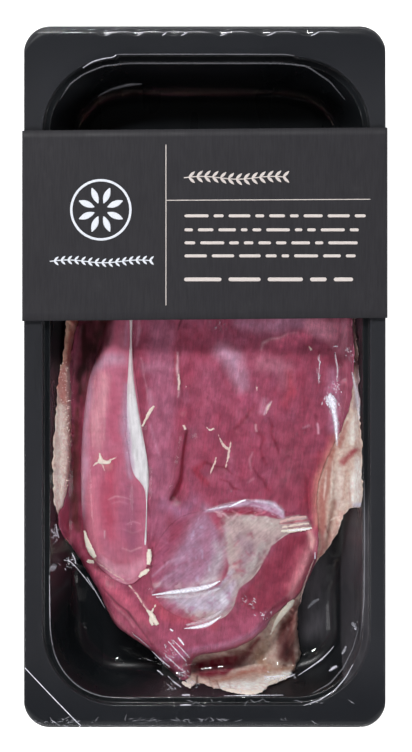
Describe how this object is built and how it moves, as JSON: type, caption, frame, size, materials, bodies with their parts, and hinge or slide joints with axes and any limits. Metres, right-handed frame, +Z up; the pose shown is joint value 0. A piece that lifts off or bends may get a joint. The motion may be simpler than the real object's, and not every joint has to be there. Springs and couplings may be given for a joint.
{
  "type": "duck breast skin pack",
  "caption": "Raw duck breast, meat side up, under clear film drawn tight in a black plastic tray, with a card sleeve band round the tray.",
  "frame": {"origin": "on the table, under the middle of the pack", "axes": "+Z up, +Y along the tray towards the end that the sleeve is nearer to, +X across it"},
  "size_m": [0.1312, 0.252, 0.0293],
  "materials": {
    "tray_plastic": "black thermoformed plastic, satin",
    "skin_and_fat": "raw skin and fat, cream to pinkish brown, wet",
    "raw_meat": "raw dark red muscle, wet",
    "raw_fillet": "raw pink muscle, wet",
    "tendon": "white sinew, wet",
    "silverskin": "pale purple membrane with cream fat, wet",
    "clear_film": "clear film, glossy",
    "sleeve_card": "printed card, dark grey, satin varnish"
  },
  "bodies": {
    "root": {"tray": "tray_plastic", "skin_and_fat": "skin_and_fat", "breast_muscle": "raw_meat", "inner_fillet": "raw_fillet", "tendon": "tendon", "silverskin": "silverskin", "film": "clear_film", "card_sleeve": "sleeve_card"}
  },
  "joints": []
}
